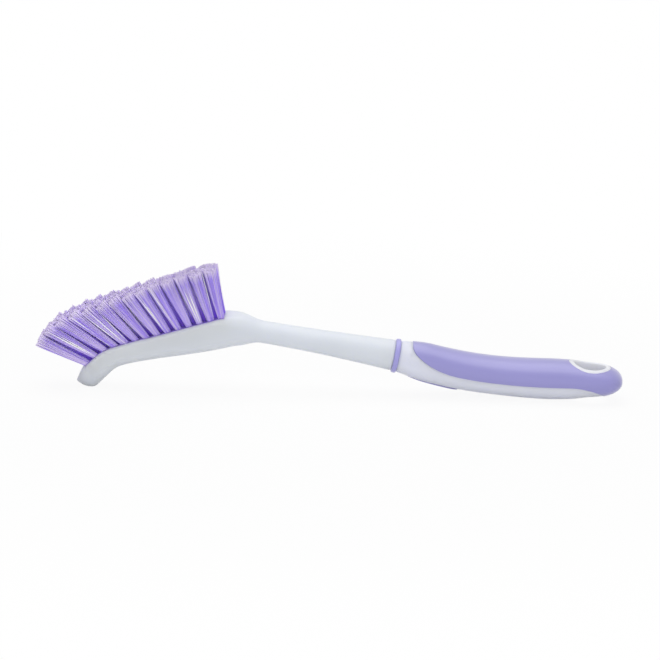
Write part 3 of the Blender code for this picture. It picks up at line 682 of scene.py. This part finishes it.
class TILEBRUSH_OT_body(Operator):
    """White moulding with its drilled holes, band groove and seat for the grip"""

    bl_idname = "tile_brush.body"
    bl_label = "Body"

    def execute(self, context):
        into_rim = 0.65 * settings().grip.rim_wall
        moulding = Moulding()
        piece = piece_from_grids("body", body_grids(moulding))
        rest_on_ground(piece.data, moulding)
        axes = tuft_axes()
        cut(piece, oval_cutter("hang_hole_cutter", moulding, into_rim), hole_cutters(axes))
        band = moulding.spine(moulding.stations[NECK_BAND])[0]
        finish_piece(piece, body_white(axes, band), ["core"])
        return {"FINISHED"}


class TILEBRUSH_OT_rim(Operator):
    """White rim of the hang hole"""

    bl_idname = "tile_brush.rim"
    bl_label = "Hang hole rim"

    def execute(self, context):
        moulding = Moulding()
        sizes = settings().grip
        steps_round, steps_over = 128, 15
        arc = np.linspace(0, 2 * QUARTER, steps_over)
        angle = np.concatenate([arc, arc[::-1]])[None, :]
        face = np.repeat([1.0, -1.0], steps_over)[None, :]
        out = sizes.rim_wall / 2 * (1 - np.cos(angle))
        centre, x, y = hang_oval(moulding, round_turn(steps_round)[:, None], out)
        s = moulding.stations[EYELET] + x - centre
        half_width, half_height = moulding.half_sizes(s)
        lift = np.sqrt(np.maximum(1 - (y / half_width) ** 2, 0))
        proud = np.where(face > 0, sizes.rim_proud, -sizes.rim_sunk)
        fall = np.where(angle < QUARTER, sizes.rim_rounding, sizes.rim_shoulder)
        crown = proud - fall * (1 - np.sin(angle))
        z = moulding.spine(s)[1] + face * (half_height * lift + crown)
        piece = piece_from_ring("hang_hole_rim", np.stack([x, y, z], axis=-1))
        # Painted light: a whiter white on the rim, so that the inside of the hang hole looks lit.
        finish_piece(piece, plastic("rim_painted_light", settings().finish.rim, **FROSTED))
        return {"FINISHED"}


class TILEBRUSH_OT_grip(Operator):
    """Soft grip over the top, sides and tail of the handle"""

    bl_idname = "tile_brush.grip"
    bl_label = "Soft grip"

    def execute(self, context):
        moulding = Moulding()
        sizes = settings().grip
        play, tail_rows = 0.0002, 25
        edge = GripEdge(moulding, sizes.gap)
        shells = []
        for offset in (sizes.proud, play - sizes.thickness):
            rows, start = edge.patch(offset, tail_rows)
            angle = start + (2 * QUARTER - 2 * start) * edge_columns()
            level = np.full(angle.shape, offset)
            if offset > 0:
                level -= edge.fall(moulding.skin(rows, angle), sizes.lip)
            shells.append(moulding.skin(rows, angle, level))
        walls = side_walls(*[shell[:len(edge.rows)] for shell in shells])
        piece = piece_from_grids("soft_grip_skin", shells + walls)
        cut(piece, oval_cutter("grip_hole_cutter", moulding, sizes.rim_wall + sizes.gap))
        finish_piece(piece, plastic("soft_lilac", settings().finish.grip, **SOFT),
                     ["soft_grip"])
        return {"FINISHED"}


class TILEBRUSH_OT_band(Operator):
    """Soft band in its groove round the neck. Its section is a squared oval, |cos|^n by |sin|^n."""

    bl_idname = "tile_brush.band"
    bl_label = "Neck band"

    def execute(self, context):
        moulding = Moulding()
        sizes = settings().grip
        squareness, steps = 0.7, 40
        half = sizes.band_width / 2 - sizes.gap
        along, up = np.cos(round_turn(steps)), np.sin(round_turn(steps))
        along = np.abs(along) ** squareness * np.sign(along)
        up = np.sign(up) * np.abs(up) ** squareness
        middle = (sizes.band_proud - sizes.band_depth) / 2
        reach = (sizes.band_proud + sizes.band_depth) / 2
        s = moulding.stations[NECK_BAND] + half * along
        sections = moulding.skin(s[:, None], round_turn(AROUND)[None, :], (middle + reach * up)[:, None])
        piece = piece_from_ring("band", sections)
        look = SOFT | {"sheen": 0.4}
        finish_piece(piece, plastic("soft_band", settings().finish.band, **look),
                     ["neck_band"])
        return {"FINISHED"}


class TILEBRUSH_OT_pad(Operator):
    """Soft finger pad under the front of the handle. Seen from below it is an oval."""

    bl_idname = "tile_brush.pad"
    bl_label = "Finger pad"

    def execute(self, context):
        moulding = Moulding()
        sizes = settings().grip
        sunk, steps_out, steps_round = 0.0007, 25, 72
        middle = moulding.stations[NECK_BAND] + sizes.pad_start + sizes.pad_length / 2
        out = np.sin(np.linspace(0, QUARTER, steps_out))[:, None]
        turn = round_turn(steps_round)[None, :]
        s = middle + sizes.pad_length / 2 * out * np.cos(turn)
        angle = -QUARTER + sizes.pad_angle * out * np.sin(turn)
        along = (s - middle) / sizes.pad_length + 0.5
        proud = sizes.pad_front + (sizes.pad_rear - sizes.pad_front) * along
        rim = (1 - out) * sizes.pad_length / 2
        outer = moulding.skin(s, angle, proud - rounding(rim, sizes.lip))
        inner = moulding.skin(s, angle, -sunk)
        wall = np.stack([outer[-1], inner[-1]])
        piece = piece_from_grids("pad", [outer, inner, wall], wrap=True)
        look = SOFT | {"roughness": 0.52, "gloss": 0.5, "sheen": 0.2}
        finish_piece(piece, plastic("soft_pad", settings().finish.pad, **look),
                     ["finger_pad"])
        return {"FINISHED"}


def filament_row(tufts, sizes, chance, inner):
    """Points of one row's filaments as an array (filament, ring, side, 3), and their tone, painted glint
    (the clear filaments' white, along part of their length), painted shade among the tufts and share of
    the length, each as an array (filament, ring). The rows between others, for which inner is 1, get the
    painted shade near their roots. A filament runs from its place in the root, on a sunflower spiral, to
    a place that many times further out at the tip, and it bows and strays a little on the way. The last
    third of the tufts towards the nose grows longer and leans further."""
    root_depth, taper_share = 0.002, 0.12
    outer_radius, clear_out, clear_thicker = 0.6, 0.10, 0.35
    glint_middle, glint_level, glint_fall = (0.25, 0.75), 1.4, 3.2
    shade_level, shade_fall = 1.3, 1.9
    count = sizes.per_tuft
    place = np.arange(count)
    radius = np.sqrt((place + 0.5) / count)
    turn = place * math.pi * (3 - math.sqrt(5))
    t = np.linspace(0, 1, RINGS)[None, :, None]
    along = np.broadcast_to(t[..., 0], (count, RINGS))
    rows = []
    for tuft, (_, mouth, axis) in enumerate(tufts):
        towards_nose = np.clip((tuft + 1) / len(tufts) * 3 - 2, 0, 1)
        lean = towards_nose * sizes.nose_lean
        axis = axis * math.cos(lean) - side_vectors(axis)[0] * math.sin(lean)
        level, other = side_vectors(axis)
        out = ring_around(turn + chance.uniform(0, 4 * QUARTER), level, other)
        stray = chance.normal(0, 1, (count, 1)) * level + chance.normal(0, 1, (count, 1)) * other
        bow = chance.uniform(-1, 1, (count, 1)) * level + chance.uniform(-1, 1, (count, 1)) * other
        tall = sizes.length + chance.uniform(-1, 1) * sizes.tuft_unevenness
        tall = tall + towards_nose * sizes.nose_extra
        tall = tall + chance.uniform(-1, 1, count) * sizes.unevenness
        is_clear = chance.uniform(0, 1, count) < sizes.clear_share
        is_clear = (is_clear & (radius > outer_radius)).astype(float)
        from_axis = radius * (1 + clear_out * is_clear)
        reach = sizes.root_spread + (sizes.tip_spread - sizes.root_spread) * t
        line = mouth + axis * (-root_depth + (tall[:, None, None] + root_depth) * t)
        line = line + (from_axis[:, None] * out)[:, None, :] * reach
        line = line + (stray * sizes.stray)[:, None, :] * t ** 2
        line = line + (bow * sizes.bow)[:, None, :] * 4 * t * (1 - t)
        thick = sizes.radius * (1 + clear_thicker * is_clear)
        taper = thick[:, None, None, None] * (1 - taper_share * t[..., None] ** 4)
        points = line[:, :, None, :] + taper * ring_around(round_turn(SIDES), level, other)
        tone = np.broadcast_to(chance.uniform(0, 1, (count, 1)), along.shape)
        # Painted glint: a clear filament is white over a stretch around a random middle.
        middle = chance.uniform(*glint_middle, (count, 1))
        painted_glint = np.clip(glint_level - glint_fall * np.abs(along - middle), 0, 1)
        # Painted shade among the tufts: full at the root of an inner row, gone at about two thirds of its
        # length.
        shade_among_tufts = inner * np.clip(shade_level - shade_fall * along, 0, 1)
        rows.append((points, tone, is_clear[:, None] * painted_glint, shade_among_tufts, along))
    return [np.concatenate(each) for each in zip(*rows)]


def filament_faces(filaments):
    """Quads of every six-sided filament: its wall and, in two halves each, the caps of its ends."""
    wall = grid_faces(RINGS, SIDES, 0, True)
    root_cap = np.array([[3, 2, 1, 0], [5, 4, 3, 0]])
    tip_cap = np.array([[0, 1, 2, 3], [0, 3, 4, 5]]) + (RINGS - 1) * SIDES
    first = np.arange(filaments)[:, None, None] * RINGS * SIDES
    return (np.concatenate([wall, root_cap, tip_cap])[None] + first).reshape(-1, 4)


class TILEBRUSH_OT_bristles(Operator):
    """Filaments of every tuft, one piece for each row"""

    bl_idname = "tile_brush.bristles"
    bl_label = "Bristles"

    def execute(self, context):
        sizes = settings().bristles
        chance = np.random.default_rng(sizes.seed)
        material = filament_material()
        for row, tufts in sorted(tuft_axes().items()):
            points, *shares = filament_row(tufts, sizes, chance, float(row in INNER_ROWS))
            name = f"bristles_row{row}"
            mesh = mesh_from_quads(name, points.reshape(-1, 3), filament_faces(len(points)))
            for label, share in zip(("tone", "clear", "shade_among_tufts", "along"), shares):
                attribute = mesh.attributes.new(label, "FLOAT", "POINT")
                attribute.data.foreach_set("value", np.repeat(share.astype(np.float32), SIDES))
            finish_piece(add_object(name, mesh), material, [tuft[0] for tuft in tufts],
                         sharp=math.radians(75))
        return {"FINISHED"}


class Graph:
    """Nodes of a material, a world or a node group, and the ways in which they are joined."""

    def __init__(self, tree):
        self.nodes, self.links = tree.nodes, tree.links

    def feed(self, node, inputs):
        """Link a node's inputs to outputs of other nodes, or set them to a value."""
        for socket, value in inputs.items():
            if isinstance(value, bpy.types.NodeSocket):
                self.links.new(value, node.inputs[socket])
            else:
                node.inputs[socket].default_value = value
        return node

    def add(self, kind, inputs=None, **traits):
        """New node of a kind, with its traits and inputs."""
        node = self.nodes.new(kind)
        for name, value in traits.items():
            setattr(node, name, value)
        return self.feed(node, inputs or {})

    def mix(self, share, first, second, blend="MIX"):
        """Colour that goes from the first one to the second by a share."""
        node = self.add("ShaderNodeMix", data_type="RGBA", blend_type=blend)
        return self.feed(node, {SHARE: share, FIRST: first, SECOND: second}).outputs[MIXED]

    def climb(self, value, start, end, low=0.0, high=1.0, curve="SMOOTHSTEP"):
        """Number that goes from low to high as a value goes from start to end."""
        inputs = {"Value": value, "From Min": start, "From Max": end, "To Min": low, "To Max": high}
        return self.add("ShaderNodeMapRange", inputs, interpolation_type=curve).outputs["Result"]

    def math(self, operation, *numbers):
        """Result of one operation on one number or two."""
        return self.add("ShaderNodeMath", dict(enumerate(numbers)), operation=operation).outputs[0]

    def parts(self, vector):
        """The three numbers of a vector, by axis."""
        return self.add("ShaderNodeSeparateXYZ", {0: vector}).outputs

    def place(self):
        """Where a point is on the brush."""
        return self.add("ShaderNodeTexCoord").outputs["Object"]

    def own_value(self, name):
        """One of the filaments' own values."""
        return self.add("ShaderNodeAttribute", attribute_name=name).outputs["Fac"]

    def seen_directly(self):
        """1 for what the camera sees, also in a reflection or through something clear, and else 0."""
        path = self.add("ShaderNodeLightPath").outputs
        either = self.math("MAXIMUM", path["Is Camera Ray"], path["Is Glossy Ray"])
        return self.math("MAXIMUM", either, path["Is Transmission Ray"])

    def whiten(self, share, shader, white, output):
        """Put out a shader, turned into a white one by a share."""
        mixed = self.add("ShaderNodeMixShader", {0: share, 1: shader.outputs[0], 2: white.outputs[0]})
        self.feed(self.nodes[output], {"Surface": mixed.outputs[0]})


def opaque(base, factor=1.0):
    """Colour with full alpha, made lighter or darker by a factor and no lighter than white."""
    return (*np.minimum(factor * np.array(base), 1.0), 1.0)


def new_material(name):
    """New material, its graph and its shader."""
    material = bpy.data.materials.new(name)
    material.use_nodes = True
    return material, Graph(material.node_tree), material.node_tree.nodes["Principled BSDF"]


def grain_group():
    """Fine grain of a moulded surface: puts out a height and a slow mottle, both from 0 to 1."""
    if "moulded_grain" in bpy.data.node_groups:
        return bpy.data.node_groups["moulded_grain"]
    group = bpy.data.node_groups.new("moulded_grain", "ShaderNodeTree")
    for name in ("Grain Scale", "Mottle Scale"):
        group.interface.new_socket(name, in_out="INPUT", socket_type="NodeSocketFloat")
    for name in ("Height", "Mottle"):
        group.interface.new_socket(name, in_out="OUTPUT", socket_type="NodeSocketFloat")
    graph = Graph(group)
    inside = graph.add("NodeGroupInput").outputs
    outside = graph.add("NodeGroupOutput")
    for scale, output, detail in (("Grain Scale", "Height", 3.0), ("Mottle Scale", "Mottle", 2.0)):
        noise = graph.add("ShaderNodeTexNoise", {"Vector": graph.place(), "Scale": inside[scale],
                                                 "Detail": detail})
        graph.feed(outside, {output: noise.outputs["Fac"]})
    return group


def plastic(name, base, roughness, depth, radius, gloss, sheen):
    """Moulded plastic or soft plastic: a slow mottle in colour and gloss, and a fine grain in relief."""
    darkest, lightest, uneven_gloss, blue_further = 0.965, 1.03, 0.03, 1.2
    grain_scale, mottle_scale, relief_strength, relief_height = 2600.0, 55.0, 0.10, 0.00004
    material, graph, shader = new_material(name)
    grain = graph.add("ShaderNodeGroup", node_tree=grain_group())
    graph.feed(grain, {"Grain Scale": grain_scale, "Mottle Scale": mottle_scale})
    mottle = grain.outputs["Mottle"]
    relief = graph.add("ShaderNodeBump", {"Strength": relief_strength, "Distance": relief_height,
                                          "Height": grain.outputs["Height"]})
    graph.feed(shader, {
        "Base Color": graph.mix(mottle, opaque(base, darkest), opaque(base, lightest)),
        "Roughness": graph.climb(mottle, 0.0, 1.0, roughness - uneven_gloss, roughness + uneven_gloss,
                                 "LINEAR"),
        "Normal": relief.outputs["Normal"], "IOR": 1.49, "Specular IOR Level": gloss,
        "Subsurface Weight": depth, "Subsurface Radius": (radius, radius, blue_further * radius),
        "Subsurface Scale": 1.0, "Sheen Weight": sheen, "Sheen Roughness": 0.35})
    return material


def body_white(axes, band):
    """The body's white plastic, with painted shade. It is greyer from the band at that X forward, and on
    the plate's top between the outer rows it is a darker violet, which stands for the shade and the
    violet light among the bristles."""
    finish, reach = settings().finish, settings().body.hole_radius
    side_fade, front_start, front_end, rear_fade, upright, band_fade = (
        0.0012, 0.0008, 0.0018, 0.0005, 0.3, 0.006)
    material = plastic("moulded_white", finish.white, **FROSTED)
    graph = Graph(material.node_tree)
    mouths = np.array([tuft[1] for row in axes.values() for tuft in row])
    first, last = mouths[:, 0].min() - reach, mouths[:, 0].max() + reach
    side = mouths[:, 1].max() + reach
    place = graph.parts(graph.place())
    facing = graph.parts(graph.add("ShaderNodeNewGeometry").outputs["Normal"])
    # Mask of the painted shade on the plate's top under the bristles: facing up and within the tufts'
    # reach.
    plate_shade_mask = graph.climb(graph.math("ABSOLUTE", place["Y"]), side + side_fade, side)
    for test in (graph.climb(place["X"], first + front_start, first + front_end),
                 graph.climb(place["X"], last + rear_fade, last - rear_fade),
                 graph.climb(facing["Z"], 0.0, upright)):
        plate_shade_mask = graph.math("MULTIPLY", plate_shade_mask, test)
    shader = graph.nodes["Principled BSDF"]
    mottled = shader.inputs["Base Color"].links[0].from_socket
    # Painted shade: greyer from the band forward, over the head and the neck.
    head_shade_share = graph.climb(place["X"], band + band_fade, band - band_fade)
    head_painted_shade = graph.mix(head_shade_share, mottled, opaque(finish.head), "MULTIPLY")
    # Painted shade, tinted violet, on the plate's top under the bristles.
    graph.feed(shader, {"Base Color": graph.mix(plate_shade_mask, head_painted_shade, opaque(finish.plate_painted_shade))})
    return material


def filament_material():
    """Extruded filaments: lilac ones that differ a little in tone, with painted light that makes them
    paler at the tips and painted shade that makes them deeper where they stand among the tufts, and clear
    ones, painted white as a glint along part of their length, which takes some metallic shine."""
    finish = settings().finish
    tip_light_from, tip_light_share, glint_shine, scatter = 0.84, 0.80, 0.7, 0.0003
    material, graph, shader = new_material("filament")
    clear = graph.own_value("clear")
    lilac = graph.mix(graph.own_value("tone"), opaque(finish.deep), opaque(finish.pale))
    # Painted shade among the tufts, near the roots.
    lilac = graph.mix(graph.own_value("shade_among_tufts"), lilac, opaque(finish.shaded))
    # Painted light: paler over the last part of each filament, towards its tip.
    tip_painted_light = graph.climb(graph.own_value("along"), tip_light_from, 1.0, 0.0, tip_light_share, "LINEAR")
    lilac = graph.mix(tip_painted_light, lilac, opaque(finish.tip))
    graph.feed(shader, {
        # Painted glint: white where a clear filament glints; the metallic shine follows it.
        "Base Color": graph.mix(clear, lilac, opaque(finish.clear)),
        "Metallic": graph.climb(clear, 0.0, 1.0, 0.0, glint_shine, "LINEAR"),
        "Coat Weight": clear, "Coat Roughness": 0.12, "Roughness": 0.30, "IOR": 1.53,
        "Subsurface Weight": 0.3, "Subsurface Radius": (scatter, scatter, scatter),
        "Subsurface Scale": 1.0})
    return material


def floor_material():
    """Pale floor that keeps a soft shadow. To the camera most of it is plain white, and all of it
    further out."""
    pale, shadow_ends, white_from = (0.84, 0.84, 0.84, 1.0), 0.12, 0.36
    material, graph, shader = new_material("floor")
    graph.feed(shader, {"Base Color": pale, "Roughness": 0.9, "Specular IOR Level": 0.0})
    far = graph.add("ShaderNodeVectorMath", {0: graph.place()}, operation="LENGTH")
    whiter = graph.climb(far.outputs["Value"], shadow_ends, white_from,
                         1 - settings().stage.shadow_share, 1.0)
    share = graph.math("MULTIPLY", graph.seen_directly(), whiter)
    graph.whiten(share, shader, graph.add("ShaderNodeEmission"), "Material Output")
    return material


def white_world(strength):
    """Even light, with plain white behind the object for the camera and for reflections."""
    world = bpy.data.worlds.new("studio")
    bpy.context.scene.world = world
    world.use_nodes = True
    graph = Graph(world.node_tree)
    even = graph.feed(graph.nodes["Background"], {"Color": WHITE, "Strength": strength})
    plain = graph.add("ShaderNodeBackground", {"Color": WHITE})
    graph.whiten(graph.seen_directly(), even, plain, "World Output")


def lamp(name, watts, size, place, reflected):
    """Large soft lamp that faces the middle of the brush."""
    middle = (0.0, 0.0, 0.03)
    data = bpy.data.lights.new(name, "AREA")
    data.energy = watts
    data.size = size
    light = add_object(name, data)
    light.location = place
    light.rotation_euler = (Vector(middle) - Vector(place)).to_track_quat("-Z", "Y").to_euler()
    light.visible_glossy = reflected


class TILEBRUSH_OT_stage(Operator):
    """Floor, lamps and camera"""

    bl_idname = "tile_brush.stage"
    bl_label = "Stage"

    def execute(self, context):
        sizes = settings().stage
        scene = context.scene
        scene.view_settings.view_transform = "Standard"
        floor_reach = 4.0
        corners = floor_reach * np.array([(-1, -1, 0), (1, -1, 0), (1, 1, 0), (-1, 1, 0)])
        floor = add_object("floor", mesh_from_quads("floor", corners, np.array([[0, 1, 2, 3]])))
        floor.data.materials.append(floor_material())
        white_world(sizes.world)
        lamp("key", sizes.key, size=0.9, place=(-0.05, 0.20, 0.93), reflected=True)
        lamp("fill", sizes.fill, size=0.7, place=(0.10, -0.9, 0.35), reflected=False)

        camera = bpy.data.cameras.new("camera")
        camera.type = "PERSP"
        camera.sensor_width = 36.0
        camera.lens = camera.sensor_width * sizes.distance / sizes.field
        camera.clip_start = 0.05
        camera.clip_end = 20.0
        seat = add_object("camera", camera)
        back = Vector((0.0, -math.cos(sizes.elevation), math.sin(sizes.elevation)))
        turn = (-back).to_track_quat("-Z", "Y").to_matrix().to_4x4()
        place = Matrix.Translation(Vector(sizes.target) + back * sizes.distance)
        seat.matrix_world = place @ turn @ Matrix.Rotation(sizes.roll, 4, "Z")
        scene.camera = seat
        return {"FINISHED"}


class TILEBRUSH_PT_panel(Panel):
    """Lists the operators"""

    bl_idname = "TILEBRUSH_PT_panel"
    bl_label = "Tile brush"
    bl_space_type = "VIEW_3D"
    bl_region_type = "UI"
    bl_category = "Tile Brush"

    def draw(self, context):
        for operator in OPERATORS:
            self.layout.operator(operator.bl_idname)


OPERATORS = (TILEBRUSH_OT_body, TILEBRUSH_OT_rim, TILEBRUSH_OT_grip, TILEBRUSH_OT_band,
             TILEBRUSH_OT_pad, TILEBRUSH_OT_bristles, TILEBRUSH_OT_stage)
CLASSES = (BodySizes, GripSizes, BristleSizes, Finish, StageSizes, BrushSettings, *OPERATORS,
           TILEBRUSH_PT_panel)


def register():
    for each in CLASSES:
        bpy.utils.register_class(each)
    bpy.types.Scene.tile_brush = PointerProperty(type=BrushSettings)


def unregister():
    del bpy.types.Scene.tile_brush
    for each in reversed(CLASSES):
        bpy.utils.unregister_class(each)


def main():
    register()
    bpy.ops.tile_brush.body()
    bpy.ops.tile_brush.rim()
    bpy.ops.tile_brush.grip()
    bpy.ops.tile_brush.band()
    bpy.ops.tile_brush.pad()
    bpy.ops.tile_brush.bristles()
    bpy.ops.tile_brush.stage()


if __name__ == "__main__":
    main()
